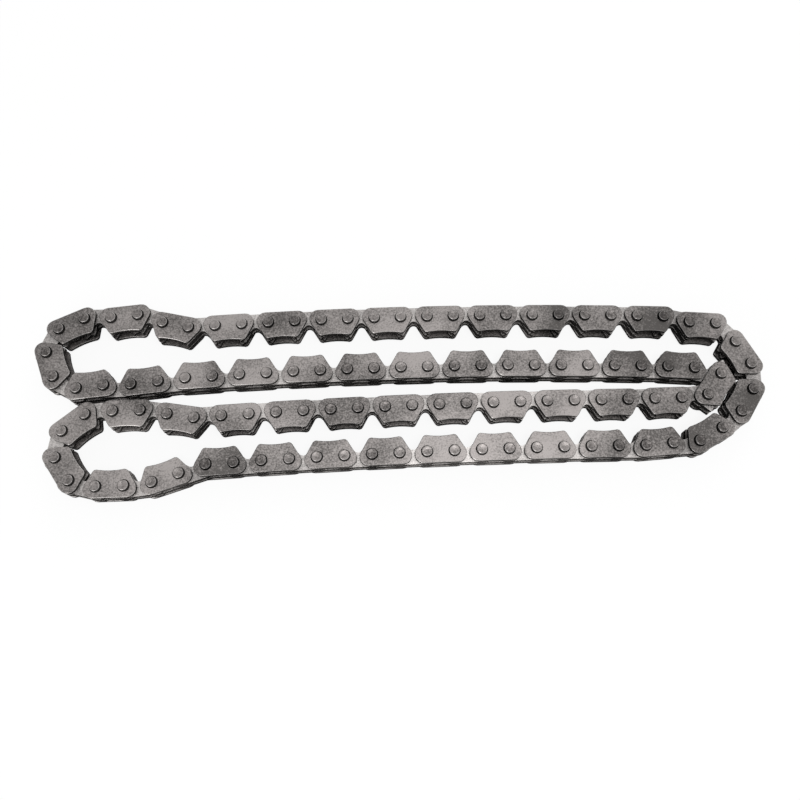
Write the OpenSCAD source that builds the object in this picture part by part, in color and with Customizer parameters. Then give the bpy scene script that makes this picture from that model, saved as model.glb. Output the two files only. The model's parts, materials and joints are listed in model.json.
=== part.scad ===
/* [Chain] */
// Distance between neighbouring pins
pitch = 6.35; // [6.25:0.05:6.8]
// Air between neighbouring plates of the stack
layer_gap = 0.06; // [0.05:0.01:0.12]

/* [Plates] */
// Thickness of every stamped plate
plate_t = 1.1; // [0.8:0.05:1.4]
// Height of the straight back above the pin line
back_h = 2.67; // [2.5:0.01:2.75]
// How far a plate reaches past its pin, along the pin line
end_reach = 2.85; // [2.75:0.01:2.95]
// Distance from the pin to the straight outer flank of the tooth
flank_d = 2.45; // [2.35:0.01:2.5]
// Slope of the outer flank, away from square to the pin line
flank_a = 30; // [28:0.5:32]
// Depth of the teeth below the pin line
tooth_depth = 3.9; // [3.6:0.05:4]
// Radius of the tooth tips
tip_r = 0.3; // [0.2:0.05:0.35]
// Radius at the top of the gap between a plate's two teeth
crotch_r = 1; // [0.8:0.05:1.2]
// Metal left between the pin line and that gap
crotch_top = 0.76; // [0.5:0.02:1]
// Depth of the shallow hollow in a guide plate's lower edge
guide_dip = 0.3; // [0.1:0.05:0.5]

/* [Pins] */
// Diameter of the pins
pin_d = 2.4; // [2:0.05:2.6]
// How far a pin stands out of the guide plates at each side
pin_proud = 0.9; // [0.6:0.05:1.2]
// Bevel around each end of a pin
pin_bevel = 0.15; // [0.05:0.05:0.3]
// Gap around a pin where a plate turns on it
pin_play = 0.04; // [0.03:0.005:0.06]
// Gap around a pin where it is pressed into a guide plate
pin_press = 0.01; // [0.01:0.005:0.02]
// Bevel around the pin holes of a guide plate's outer face
hole_bevel = 0.25; // [0.1:0.05:0.4]

/* [Hidden] */
$fn = 48;

// Margin by which a cut passes the face it opens
cut_lap = 0.01;
// Facets of a wide shallow arc
wide_arc_fn = 96;

// A run that bows evenly from one heading to another, with the two links of each pair in line
function bowed(from, to, pairs) =
    [for (k = [0:pairs - 1]) (from + (to - from) * k / (pairs - 1)) * [1, 1]];
// Two link pairs that turn by the same angle at every pin
function turned(from, to) = [for (k = [0, 2]) [for (n = [k, k + 1]) from + (to - from) * n / 3]];

// How the loop lies, as headings in degrees anticlockwise from +X, in chain order. Each entry is
// an outer link and the inner link after it. The order starts at the right end of the top run,
// goes left along it, back along the second run, left along the third run and right along the
// bottom run.
top_right = [[180, 170]];
top_leg = bowed(182, 187, 9);
top_left = [[172, 165]];
top_end = [[190, 185]];
upper_bend = turned(208, 336);
second_left = [[10, 10]];
inner_bend = [[238, 190]];
third_right = [[185, 185]];
third_leg = bowed(184, 187, 8);
third_left = [[175, 175]];
third_end = [[185, 190]];
lower_bend = turned(222, 350);
bottom_left = [[22, 22]];
bottom_right = [[8, 8]];
// Bend inside each of the first two link pairs of the right bend
right_turn = [10, 30];

// The same stretch walked the other way, so that two runs lie parallel
function back(run) = [for (i = [len(run) - 1:-1:0]) run[i] - [180, 180]];
function flat(pairs) = [for (p = pairs) for (a = p) a];
function way(a) = [cos(a), sin(a)];
function sum(list, i = 0) = i < len(list) ? list[i] + sum(list, i + 1) : [0, 0];
function ways(run) = sum([for (a = flat(run)) way(a)]);
function bearing(v) = atan2(v.y, v.x);

// Everything up to the right bend
laid = concat(top_right, top_leg, top_left, top_end, upper_bend,
              back(top_end), second_left, back(top_leg), back(top_right),
              inner_bend, third_right, third_leg, third_left, third_end, lower_bend,
              back(third_end), bottom_left, back(third_leg), bottom_right);

// The right bend's first two pairs balance the first pair of each left bend
balance = -ways([upper_bend[0], lower_bend[0]]);
reach = [for (a = right_turn) 2 * cos(a / 2)];
function corner(far, near, away) = acos((near * near + away * away - far * far) / (2 * near * away));
turn_in = [bearing(balance) - corner(reach[1], reach[0], norm(balance)),
           bearing(balance) + corner(reach[0], reach[1], norm(balance))];
right_pairs = [for (i = [0, 1]) turn_in[i] * [1, 1] + right_turn[i] / 2 * [-1, 1]];

// The last pair closes the loop
gap = -ways(concat(laid, right_pairs));
last_pair = bearing(gap) * [1, 1] + acos(norm(gap) / 2) * [-1, 1];
headings = flat(concat(laid, right_pairs, [last_pair]));
links = len(headings);

// Outline of a plate about its own pin line: head arcs, straight flanks and round tips
head_r = (flank_d - end_reach * cos(flank_a) + back_h * sin(flank_a))
         / (1 + sin(flank_a) - cos(flank_a));
head = [pitch / 2 + end_reach - head_r, back_h - head_r];
tip_drop = tooth_depth - tip_r;
tip = [pitch / 2 + (flank_d - tip_r - tip_drop * sin(flank_a)) / cos(flank_a), -tip_drop];
crotch_y = -crotch_top - crotch_r;
crotch_a = bearing([tip.x, tip.y - crotch_y])
           + acos((crotch_r + tip_r) / norm([tip.x, tip.y - crotch_y]));

// Stack across the pins, from one guide plate to the other
layers = 5;
layer_step = plate_t + layer_gap;
stack_h = layers * plate_t + (layers - 1) * layer_gap;
pin_l = stack_h + 2 * pin_proud;

// Pin places, and the move that centres the whole loop over the origin
function walk(i = 0, at = [0, 0]) =
    i == links ? [] : concat([at], walk(i + 1, at + pitch * way(headings[i])));
laid_pins = walk();
function head_at(i, side) =
    laid_pins[i] + pitch / 2 * way(headings[i]) + side * head.x * way(headings[i])
    + head.y * way(headings[i] - 90);
heads = [for (i = [0:links - 1], side = [-1, 1]) head_at(i, side)];
middle = [for (k = [0, 1]) (max([for (h = heads) h[k]]) + min([for (h = heads) h[k]])) / 2];
pins = [for (p = laid_pins) p - middle];

// Node names, each with its first link and its number of links
function numbered(name, first, pairs) =
    [for (k = [1:pairs]) [str(name, k < 10 ? "_0" : "_", k), first + 2 * (k - 1), 2]];
upper_first = 2 * len(concat(top_right, top_leg, top_left, top_end));
second_first = upper_first + 2 * len(upper_bend);
inner_first = second_first + upper_first;
third_first = inner_first + 2;
third_pairs = len(concat(third_right, third_leg, third_left, third_end));
lower_first = third_first + 2 * third_pairs;
bottom_first = lower_first + 2 * len(lower_bend);
right_first = bottom_first + 2 * third_pairs;
stretches = concat(numbered("top_run", 0, upper_first / 2),
                   numbered("upper_left_bend", upper_first, 2),
                   numbered("second_run", second_first, upper_first / 2),
                   [["inner_bend", inner_first, 2]],
                   numbered("third_run", third_first, third_pairs),
                   numbered("lower_left_bend", lower_first, 2),
                   numbered("bottom_run", bottom_first, third_pairs),
                   numbered("right_bend", right_first, 3));

// A plate without its lower edge cut
module blank() {
    for (side = [-1, 1]) {
        translate([side * head.x, head.y]) circle(head_r);
        translate([side * tip.x, tip.y]) circle(tip_r);
    }
    flank = way(-flank_a);
    right = [tip - [0, tip_r], tip + tip_r * flank, head + head_r * flank, head + [0, head_r]];
    left = [for (i = [3:-1:0]) [-right[i].x, right[i].y]];
    polygon(concat(right, left));
}

module pin_holes(gap) {
    for (side = [-1, 1])
        translate([side * pitch / 2, 0]) circle(pin_d / 2 + gap);
}

// Closed lower edge with a shallow hollow, and bevelled holes on the outer face
module guide_plate() {
    dip_r = (tip.x * tip.x + guide_dip * guide_dip) / (2 * guide_dip);
    hole_r = pin_d / 2 + pin_press;
    bevel_cut = hole_bevel + cut_lap;
    color([0.26, 0.25, 0.27]) difference() {
        linear_extrude(plate_t) difference() {
            blank();
            translate([0, guide_dip - tooth_depth - dip_r]) circle(dip_r, $fn = wide_arc_fn);
            pin_holes(pin_press);
        }
        for (side = [-1, 1])
            translate([side * pitch / 2, 0, plate_t - hole_bevel])
                cylinder(bevel_cut, hole_r, hole_r + bevel_cut);
    }
}

// Two teeth with an open gap between them
module toothed_plate() {
    inward = way(crotch_a);
    right = [[tip.x, -2 * tooth_depth], [tip.x, -tooth_depth], tip - tip_r * inward,
             [0, crotch_y] + crotch_r * inward];
    left = [for (i = [3:-1:0]) [-right[i].x, right[i].y]];
    color([0.30, 0.29, 0.30]) linear_extrude(plate_t) difference() {
        union() {
            difference() {
                blank();
                polygon(concat(right, left));
                translate([0, crotch_y]) circle(crotch_r);
            }
            for (side = [-1, 1])
                translate([side * tip.x, tip.y]) circle(tip_r);
        }
        pin_holes(pin_play);
    }
}

module pin() {
    r = pin_d / 2;
    color([0.42, 0.41, 0.42]) rotate_extrude()
        polygon([[0, 0], [r - pin_bevel, 0], [r, pin_bevel], [r, pin_l - pin_bevel],
                 [r - pin_bevel, pin_l], [0, pin_l]]);
}

// Height of a layer's lower face, counted from the bottom guide plate
function layer_z(layer) = pin_proud + layer * layer_step;

// Two guide plates outside, one toothed plate in the middle, and two pins through all three
module outer_link() {
    translate([0, 0, layer_z(layers - 1)]) guide_plate();
    translate([0, 0, layer_z(0) + plate_t]) mirror([0, 0, 1]) guide_plate();
    translate([0, 0, layer_z(2)]) toothed_plate();
    for (side = [-1, 1])
        translate([side * pitch / 2, 0, 0]) pin();
}

// Two toothed plates that turn on the pins of the outer links beside them
module inner_link() {
    for (layer = [1, 3])
        translate([0, 0, layer_z(layer)]) toothed_plate();
}

// The teeth point to the left of the chain's own direction
module link(i) {
    place = pins[i] + pitch / 2 * way(headings[i]);
    translate([place.x, place.y, 0]) rotate(headings[i] + 180) {
        if (i % 2 == 0) outer_link();
        else inner_link();
    }
}

for (s = stretches)
    for (k = [0:s[2] - 1]) link(s[1] + k);
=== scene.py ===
import json
import math

import bpy
from mathutils import Matrix, Vector


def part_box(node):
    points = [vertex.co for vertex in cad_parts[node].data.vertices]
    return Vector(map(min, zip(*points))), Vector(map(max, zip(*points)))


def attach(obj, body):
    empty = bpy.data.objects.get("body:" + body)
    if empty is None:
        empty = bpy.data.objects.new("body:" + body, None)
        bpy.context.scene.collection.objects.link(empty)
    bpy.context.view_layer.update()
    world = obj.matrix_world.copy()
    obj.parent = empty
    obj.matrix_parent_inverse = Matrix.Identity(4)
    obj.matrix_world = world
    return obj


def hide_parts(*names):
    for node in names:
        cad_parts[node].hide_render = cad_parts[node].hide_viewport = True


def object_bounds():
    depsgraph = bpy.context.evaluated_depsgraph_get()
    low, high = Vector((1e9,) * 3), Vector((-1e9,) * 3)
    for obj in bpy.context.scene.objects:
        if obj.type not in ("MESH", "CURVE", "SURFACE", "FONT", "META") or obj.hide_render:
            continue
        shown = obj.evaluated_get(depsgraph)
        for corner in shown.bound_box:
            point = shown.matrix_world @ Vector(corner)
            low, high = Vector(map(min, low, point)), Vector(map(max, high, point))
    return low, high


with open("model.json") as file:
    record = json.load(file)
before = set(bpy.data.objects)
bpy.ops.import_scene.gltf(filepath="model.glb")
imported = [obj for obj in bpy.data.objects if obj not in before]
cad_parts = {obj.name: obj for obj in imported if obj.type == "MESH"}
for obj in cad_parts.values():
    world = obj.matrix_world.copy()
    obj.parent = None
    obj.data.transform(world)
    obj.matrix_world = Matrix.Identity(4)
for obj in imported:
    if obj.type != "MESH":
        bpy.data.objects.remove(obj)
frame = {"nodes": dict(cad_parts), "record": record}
cad_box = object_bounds()


# Pins
# A pin is a round bar of hardened steel, pressed into its two guide plates and standing proud of both.
# Its ends are peened a little, which leaves a shallow dish inside a rounded rim.
MM = 0.001
PIN_RADIUS = 1.2
PIN_SIDES = 20
PIN_ROUNDING = 0.12
DISH_RIM = 0.22
DISH_DEPTH = 0.04
END_FACE_DEPTH = 0.01 * MM
PLACE_DIGITS = 7

link_order = [part["node"] for part in frame["record"]["subparts"]]
body_of_node = {n: body for body, nodes in frame["record"]["behaviour"]["bodies"].items() for n in nodes}
chain_foot = cad_box[0].z / MM
chain_top = cad_box[1].z / MM


def pin_centres(node):
    """The middles of the node's two upper pin ends, in millimetres."""
    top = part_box(node)[1].z
    rim = {(round(v.co.x, PLACE_DIGITS), round(v.co.y, PLACE_DIGITS))
           for v in frame["nodes"][node].data.vertices if v.co.z > top - END_FACE_DEPTH}
    points = [Vector(p) / MM for p in sorted(rim)]
    reach = max((p - points[0]).length for p in points) / 2
    near = [p for p in points if (p - points[0]).length < reach]
    far = [p for p in points if (p - points[0]).length >= reach]
    return [sum(group, Vector((0, 0))) / len(group) for group in (near, far)]


# Each node holds two pins, and the one nearer to the next node comes second.
pairs = [pin_centres(node) for node in link_order]
for pair, following in zip(pairs, pairs[1:] + pairs[:1]):
    pair.sort(key=lambda p: -min((p - q).length for q in following))


class Shade:
    """A shader socket that takes part in arithmetic."""

    def __init__(self, tree, socket=None):
        self.tree = tree
        self.socket = socket

    def node(self, kind, settings, inputs, output=0):
        made = self.tree.nodes.new(kind)
        for key, value in settings.items():
            setattr(made, key, value)
        for key, value in inputs.items():
            if isinstance(value, Shade):
                self.tree.links.new(value.socket, made.inputs[key])
            else:
                made.inputs[key].default_value = value
        return Shade(self.tree, made.outputs[output] if made.outputs else None)

    def maths(self, operation, first, second):
        return self.node("ShaderNodeMath", {"operation": operation}, {0: first, 1: second})

    def __add__(self, other):
        return self.maths("ADD", self, other)

    def __radd__(self, other):
        return self.maths("ADD", other, self)

    def __sub__(self, other):
        return self.maths("SUBTRACT", self, other)

    def __rsub__(self, other):
        return self.maths("SUBTRACT", other, self)

    def __mul__(self, other):
        return self.maths("MULTIPLY", self, other)

    def __rmul__(self, other):
        return self.maths("MULTIPLY", other, self)


GRAIN_PER_METRE = 2600
GRAIN_HEIGHT = 0.03 * MM
GRAIN_CONTRAST = 2.2
GRAIN_ROUGHENING = 0.3
TEMPER_PER_METRE = 75
TEMPER_CONTRAST = 2.6
SCUFF_PER_METRE = 1100
SCUFF_START = 0.56
SCUFF_FULL = 0.74
SCUFF_BRIGHTENING = 0.45
SCUFF_POLISH = 0.08
NOISE_MEAN = 0.5
MIDDLE_TONE = 0.5
MIX_FACTOR, MIX_FIRST, MIX_SECOND = 0, 6, 7
MIX_COLOUR = 2


def steel(name, dark, light, rough, metal, grain_strength=0.5, gloss=0.5):
    """Steel between a dark and a light tone, with fine grain, broad temper shades and paler scuffs."""
    material = bpy.data.materials.new(name)
    material.use_nodes = True
    material.node_tree.nodes.clear()
    surface = Shade(material.node_tree)
    place = surface.node("ShaderNodeTexCoord", {}, {}, "Object")

    def noise(scale, detail):
        return surface.node("ShaderNodeTexNoise", {}, {"Vector": place, "Scale": scale, "Detail": detail})

    grain = noise(GRAIN_PER_METRE, detail=4.0)
    temper = noise(TEMPER_PER_METRE, detail=1.0)
    scuffed = surface.node("ShaderNodeMapRange", {},
                           {"Value": noise(SCUFF_PER_METRE, detail=5.0),
                            "From Min": SCUFF_START, "From Max": SCUFF_FULL})
    tone = (MIDDLE_TONE + GRAIN_CONTRAST * (grain - NOISE_MEAN) + TEMPER_CONTRAST * (temper - NOISE_MEAN)
            + SCUFF_BRIGHTENING * scuffed)
    colour = surface.node("ShaderNodeMix", {"data_type": "RGBA"},
                          {MIX_FACTOR: tone, MIX_FIRST: (*dark, 1), MIX_SECOND: (*light, 1)}, MIX_COLOUR)
    roughness = rough + GRAIN_ROUGHENING * (grain - NOISE_MEAN) - SCUFF_POLISH * scuffed
    bump = surface.node("ShaderNodeBump", {},
                        {"Strength": grain_strength, "Distance": GRAIN_HEIGHT, "Height": grain})
    shader = surface.node("ShaderNodeBsdfPrincipled", {},
                          {"Base Color": colour, "Roughness": roughness, "Metallic": metal,
                           "Specular IOR Level": gloss, "Normal": bump})
    surface.node("ShaderNodeOutputMaterial", {}, {"Surface": shader})
    return material


pin_steel = steel("pin_steel", dark=(0.048, 0.044, 0.042), light=(0.22, 0.203, 0.196),
                  rough=0.36, metal=0.85, grain_strength=1.0)
# Edge steel is paler than the guide plates' faces: partly real wear, partly a painted highlight along the
# edges.
worn_edge_and_painted_highlight = steel("worn_edge_and_painted_highlight", dark=(0.16, 0.152, 0.148), light=(0.40, 0.38, 0.368),
                  rough=0.34, metal=0.9)
# Walls get a near-black, unglossy steel: painted shade for the shade that falls between the stacked
# plates.
painted_shade_wall = steel("painted_shade_wall", dark=(0.006, 0.006, 0.006), light=(0.055, 0.051, 0.049),
                     rough=0.5, metal=0.0, gloss=0.0)

FACE, EDGE, WALL = 0, 1, 2
FLAT_NORMAL = 0.5
SHARP_ANGLE = math.radians(60)
CURVE_ANGLE = math.radians(35)


def only(thing):
    """Leaves one object selected and active."""
    bpy.ops.object.select_all(action="DESELECT")
    thing.select_set(True)
    bpy.context.view_layer.objects.active = thing


def dress(thing, face_steel):
    """Gives flat faces their own steel, and walls a near-black steel that is painted shade."""
    thing.data.materials.clear()
    for material in (face_steel, worn_edge_and_painted_highlight, painted_shade_wall):
        thing.data.materials.append(material)
    for face in thing.data.polygons:
        face.material_index = FACE if abs(face.normal.z) > FLAT_NORMAL else WALL


def wear_edges(thing, width):
    """Takes the corner off every sharp edge, which leaves a thin band of paler steel: real wear, partly a
    painted highlight.
    """
    only(thing)
    wear = thing.modifiers.new("wear", "BEVEL")
    wear.width = width
    wear.segments = 1
    wear.limit_method = "ANGLE"
    wear.angle_limit = SHARP_ANGLE
    wear.material = EDGE
    bpy.ops.object.modifier_apply(modifier=wear.name)


def smooth_curves(thing):
    """Shades curved walls round and keeps flat faces flat."""
    only(thing)
    bpy.ops.object.shade_smooth_by_angle(angle=CURVE_ANGLE)


def lay_copies(name, master, places, node):
    """Copies a master, modelled in millimetres, to its places as one piece that rides with the node."""
    copies = []
    for place in places:
        copy = master.copy()
        copy.data = master.data.copy()
        copy.data.transform(Matrix.Scale(MM, 4) @ place)
        bpy.context.scene.collection.objects.link(copy)
        copies.append(copy)
    piece = copies[0]
    only(piece)
    for copy in copies:
        copy.select_set(True)
    bpy.ops.object.join()
    piece.name = piece.data.name = name
    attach(piece, body_of_node[node])
    return piece


bpy.ops.object.select_all(action="DESELECT")
bpy.ops.mesh.primitive_cylinder_add(vertices=PIN_SIDES, radius=PIN_RADIUS, depth=chain_top - chain_foot,
                                    location=(0, 0, (chain_top + chain_foot) / 2))
pin = bpy.context.object
bpy.ops.object.transform_apply(location=True, rotation=True, scale=True)
dress(pin, pin_steel)
for up in (-1, 1):
    bpy.ops.object.mode_set(mode="EDIT")
    bpy.ops.mesh.select_mode(type="FACE")
    bpy.ops.mesh.select_all(action="DESELECT")
    bpy.ops.object.mode_set(mode="OBJECT")
    for face in pin.data.polygons:
        face.select = up * face.normal.z > FLAT_NORMAL
    bpy.ops.object.mode_set(mode="EDIT")
    bpy.ops.mesh.inset(thickness=PIN_ROUNDING + DISH_RIM, depth=0)
    bpy.ops.mesh.inset(thickness=DISH_RIM, depth=-DISH_DEPTH)
    bpy.ops.object.mode_set(mode="OBJECT")
wear_edges(pin, PIN_ROUNDING)
smooth_curves(pin)

for node, pair in zip(link_order, pairs):
    lay_copies(node + "_pins", pin, [Matrix.Translation(centre.to_3d()) for centre in pair], node)
bpy.data.objects.remove(pin)


# Guide plates
# A guide plate is stamped from flat carbon steel, with a closed lower edge that dips in the middle.
# Two of them are pressed on the ends of each outer link's pins and keep the chain on its sprockets.
PITCH = 6.35
PLATE_THICKNESS = 1.1
LAYER_STEP = 1.16
PIN_PROUD = 0.9
BACK_HEIGHT = 2.67
END_REACH = 2.85
FLANK_DISTANCE = 2.45
FLANK_SLOPE = math.radians(30)
TOOTH_DEPTH = 3.9
CORNER_RADIUS = 0.9
DIP_DEPTH = 0.3
PRESSED_HOLE_RADIUS = 1.21
HOLE_BEVEL = 0.25
EDGE_WEAR = 0.12
HEAD_SIDES = 18
TIP_SIDES = 12
HOLE_SIDES = 16
DIP_SIDES = 80
CUT_LAP = 0.5
ONE_FACE_ANGLE = math.radians(2)

head_radius = ((FLANK_DISTANCE - END_REACH * math.cos(FLANK_SLOPE) + BACK_HEIGHT * math.sin(FLANK_SLOPE))
               / (1 + math.sin(FLANK_SLOPE) - math.cos(FLANK_SLOPE)))
head_x = PITCH / 2 + END_REACH - head_radius
head_y = BACK_HEIGHT - head_radius


def tip_centre(radius):
    """Where a lower corner of this radius touches both the flank and the lower edge."""
    y = radius - TOOTH_DEPTH
    return PITCH / 2 + (FLANK_DISTANCE - radius + y * math.sin(FLANK_SLOPE)) / math.cos(FLANK_SLOPE), y


def blank(name, tip_radius):
    """Four round corners wrapped in one flat blank, on z from 0 to its thickness."""
    corners = [(side * x, y, radius, sides) for side in (-1, 1)
               for x, y, radius, sides in ((head_x, head_y, head_radius, HEAD_SIDES),
                                           (*tip_centre(tip_radius), tip_radius, TIP_SIDES))]
    bpy.ops.object.select_all(action="DESELECT")
    for number, (x, y, radius, sides) in enumerate(corners):
        bpy.ops.mesh.primitive_cylinder_add(vertices=sides, radius=radius, depth=PLATE_THICKNESS,
                                            location=(x, y, PLATE_THICKNESS / 2))
        if number == 0:
            plate = bpy.context.object
            bpy.ops.object.mode_set(mode="EDIT")
    bpy.ops.mesh.select_all(action="SELECT")
    bpy.ops.mesh.convex_hull()
    bpy.ops.mesh.dissolve_limited(angle_limit=ONE_FACE_ANGLE)
    bpy.ops.object.mode_set(mode="OBJECT")
    bpy.ops.object.transform_apply(location=True, rotation=True, scale=True)
    plate.name = name
    return plate


def cut(plate, cutter):
    """Takes the cutter's shape out of the plate; the new walls take the near-black painted shade."""
    cutter.data.materials.append(painted_shade_wall)
    only(cutter)
    bpy.ops.object.transform_apply(location=True, rotation=True, scale=True)
    only(plate)
    hollow = plate.modifiers.new("cut", "BOOLEAN")
    hollow.operation = "DIFFERENCE"
    hollow.solver = "EXACT"
    hollow.material_mode = "TRANSFER"
    hollow.object = cutter
    bpy.ops.object.modifier_apply(modifier=hollow.name)
    bpy.data.objects.remove(cutter)


def punch(plate, x, y, radius, sides):
    """Cuts a round hole or hollow through the whole plate."""
    bpy.ops.mesh.primitive_cylinder_add(vertices=sides, radius=radius, depth=PLATE_THICKNESS + 2 * CUT_LAP,
                                        location=(x, y, PLATE_THICKNESS / 2))
    cut(plate, bpy.context.object)


def link_place(start, end):
    """Turns a plate's own pin line on to the line from one pin to the next, teeth to its left."""
    along = end - start
    turn = math.atan2(along.y, along.x) + math.pi
    return Matrix.Translation(((start + end) / 2).to_3d()) @ Matrix.Rotation(turn, 4, "Z")


def layer(number):
    """Lifts a plate to its layer of the stack, counted from the lower guide plate."""
    return Matrix.Translation((0, 0, chain_foot + PIN_PROUD + number * LAYER_STEP))


guide_steel = steel("guide_plate_steel", dark=(0.072, 0.067, 0.064), light=(0.27, 0.25, 0.242),
                    rough=0.42, metal=0.8)
guide_plate = blank("guide_plate", CORNER_RADIUS)
corner_x = tip_centre(CORNER_RADIUS)[0]
dip_radius = (corner_x ** 2 + DIP_DEPTH ** 2) / (2 * DIP_DEPTH)
punch(guide_plate, 0, DIP_DEPTH - TOOTH_DEPTH - dip_radius, dip_radius, DIP_SIDES)
dress(guide_plate, guide_steel)
wear_edges(guide_plate, EDGE_WEAR)
for side in (-1, 1):
    punch(guide_plate, side * PITCH / 2, 0, PRESSED_HOLE_RADIUS, HOLE_SIDES)
    # The chamfer round each pin hole takes the walls' painted shade, a dark ring round the pin.
    bpy.ops.mesh.primitive_cone_add(vertices=HOLE_SIDES, radius1=PRESSED_HOLE_RADIUS,
                                    radius2=PRESSED_HOLE_RADIUS + 2 * HOLE_BEVEL, depth=2 * HOLE_BEVEL,
                                    location=(side * PITCH / 2, 0, PLATE_THICKNESS))
    cut(guide_plate, bpy.context.object)
smooth_curves(guide_plate)

turned_over = Matrix.Translation((0, 0, PLATE_THICKNESS)) @ Matrix.Rotation(math.pi, 4, "Y")
for node, (first, second) in zip(link_order, pairs):
    outer = link_place(first, second)
    plates = lay_copies(node + "_guide_plates", guide_plate,
                        [outer @ layer(4), outer @ layer(0) @ turned_over], node)
    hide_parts(node)
bpy.data.objects.remove(guide_plate)


# Toothed plates
# A toothed plate is stamped from the same steel, with two pointed teeth and an open crotch between them.
# One sits in the middle of each outer link and two make an inner link, free to turn on the pins.
RUNNING_HOLE_RADIUS = 1.24
TIP_RADIUS = 0.3
CROTCH_RADIUS = 1.0
CROTCH_TOP = 0.76
CROTCH_SIDES = 16

toothed_steel = steel("toothed_plate_steel", dark=(0.20, 0.19, 0.184), light=(0.46, 0.437, 0.424),
                      rough=0.38, metal=0.85)
toothed_plate = blank("toothed_plate", TIP_RADIUS)
tip_x, tip_y = tip_centre(TIP_RADIUS)
crotch_y = -CROTCH_TOP - CROTCH_RADIUS
tip_from_crotch = Vector((tip_x, tip_y - crotch_y))
inward = (math.atan2(tip_from_crotch.y, tip_from_crotch.x)
          + math.acos((CROTCH_RADIUS + TIP_RADIUS) / tip_from_crotch.length))
top_x = CROTCH_RADIUS * math.cos(inward)
top_y = crotch_y + CROTCH_RADIUS * math.sin(inward)
low_x = tip_x - TIP_RADIUS * math.cos(inward)
low_y = tip_y - TIP_RADIUS * math.sin(inward)
foot_y = -TOOTH_DEPTH - CUT_LAP
foot_x = top_x + (low_x - top_x) / (low_y - top_y) * (foot_y - top_y)

bpy.ops.mesh.primitive_cube_add(size=1, location=(0, 0, PLATE_THICKNESS / 2))
wedge = bpy.context.object
for vertex in wedge.data.vertices:
    upper = vertex.co.y > 0
    vertex.co.x = math.copysign(top_x if upper else foot_x, vertex.co.x)
    vertex.co.y = top_y if upper else foot_y
    vertex.co.z *= PLATE_THICKNESS + 2 * CUT_LAP
cut(toothed_plate, wedge)
punch(toothed_plate, 0, crotch_y, CROTCH_RADIUS, CROTCH_SIDES)
dress(toothed_plate, toothed_steel)
wear_edges(toothed_plate, EDGE_WEAR)
for side in (-1, 1):
    punch(toothed_plate, side * PITCH / 2, 0, RUNNING_HOLE_RADIUS, HOLE_SIDES)
smooth_curves(toothed_plate)

for node, (first, second), following in zip(link_order, pairs, pairs[1:] + pairs[:1]):
    outer = link_place(first, second)
    inner = link_place(second, following[0])
    lay_copies(node + "_toothed_plates", toothed_plate,
               [outer @ layer(2), inner @ layer(1), inner @ layer(3)], node)
bpy.data.objects.remove(toothed_plate)


# Floor
# The chain lies on a plain white sheet, wide enough to fill every view.
# It shows white to the camera and to reflections, and still takes the chain's soft shadow.
FLOOR_SIZE = 6.0
PAPER_WHITE = (0.9, 0.9, 0.9, 1)
SHADOW_SHARE = 0.12

bpy.ops.mesh.primitive_plane_add(size=FLOOR_SIZE, location=(0, 0, cad_box[0].z))
floor = bpy.context.object
floor.name = "floor"
paper = bpy.data.materials.new("floor_paper")
paper.use_nodes = True
paper.node_tree.nodes.clear()
sheet = Shade(paper.node_tree)
matt = sheet.node("ShaderNodeBsdfDiffuse", {}, {"Color": PAPER_WHITE})
glow = sheet.node("ShaderNodeEmission", {}, {"Color": (1, 1, 1, 1), "Strength": 1.0})
seen = sheet.node("ShaderNodeLightPath", {}, {}, "Is Camera Ray")
mirrored = sheet.node("ShaderNodeLightPath", {}, {}, "Is Glossy Ray")
white_share = (seen + mirrored) * (1 - SHADOW_SHARE)
mixed = sheet.node("ShaderNodeMixShader", {}, {0: white_share, 1: matt, 2: glow})
sheet.node("ShaderNodeOutputMaterial", {}, {"Surface": mixed})
floor.data.materials.append(paper)


# Light
# A pale studio: an even white surround, one broad soft lamp above the chain, and weaker low ones
# behind and in front of it, so that faces, edges and walls part from each other.
SURROUND_LIGHT = 0.55

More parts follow.
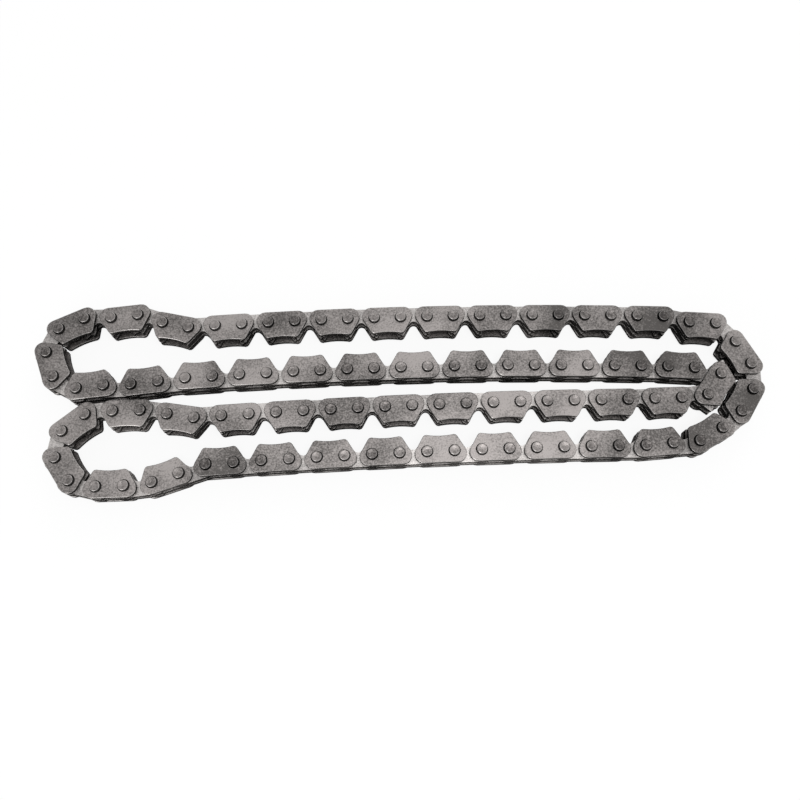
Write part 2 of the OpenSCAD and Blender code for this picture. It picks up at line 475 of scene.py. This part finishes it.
world = bpy.data.worlds.new("surround")
bpy.context.scene.world = world
world.use_nodes = True
world.node_tree.nodes.clear()
surround = Shade(world.node_tree)
sky_seen = surround.node("ShaderNodeLightPath", {}, {}, "Is Camera Ray")
sky_mirrored = surround.node("ShaderNodeLightPath", {}, {}, "Is Glossy Ray")
sky = surround.node("ShaderNodeBackground", {},
                    {"Color": (1, 1, 1, 1),
                     "Strength": SURROUND_LIGHT + (1 - SURROUND_LIGHT) * (sky_seen + sky_mirrored)})
surround.node("ShaderNodeOutputWorld", {}, {"Surface": sky})


def soft_lamp(name, place, size, watts):
    """A square lamp at its place that faces the middle of the chain."""
    bpy.ops.object.light_add(type="AREA", location=place)
    lamp = bpy.context.object
    lamp.name = name
    lamp.data.size = size
    lamp.data.energy = watts
    lamp.rotation_euler = (-Vector(place)).to_track_quat("-Z", "Y").to_euler()


soft_lamp("upper_lamp", place=(0.07, -0.12, 0.7), size=0.3, watts=2.6)
soft_lamp("back_lamp", place=(0.1, 0.6, 0.3), size=0.4, watts=1.0)
soft_lamp("front_lamp", place=(-0.25, -0.55, 0.2), size=0.3, watts=0.9)


# Camera
# The photograph looks down steeply from the side of the bottom run, a little rolled.
# Its frame is square, and the focal length is given in pixels of that frame.
LOOK_AT = Vector((0.43, 1.72, 0)) * MM
DISTANCE = 212.5 * MM
ELEVATION = math.radians(74)
ROLL = math.radians(2.9)
FRAME_PIXELS = 800
FOCAL_PIXELS = 878
SENSOR_WIDTH = 36
NEAREST_SEEN = 10 * MM

bpy.ops.object.camera_add()
camera = bpy.context.object
camera.data.sensor_width = SENSOR_WIDTH
camera.data.lens = SENSOR_WIDTH * FOCAL_PIXELS / FRAME_PIXELS
camera.data.clip_start = NEAREST_SEEN
away = Vector((0, -math.cos(ELEVATION), math.sin(ELEVATION)))
facing = Matrix.Rotation(math.pi / 2 - ELEVATION, 4, "X") @ Matrix.Rotation(ROLL, 4, "Z")
camera.matrix_world = Matrix.Translation(LOOK_AT + away * DISTANCE) @ facing
bpy.context.scene.camera = camera
bpy.context.scene.view_settings.view_transform = "Standard"
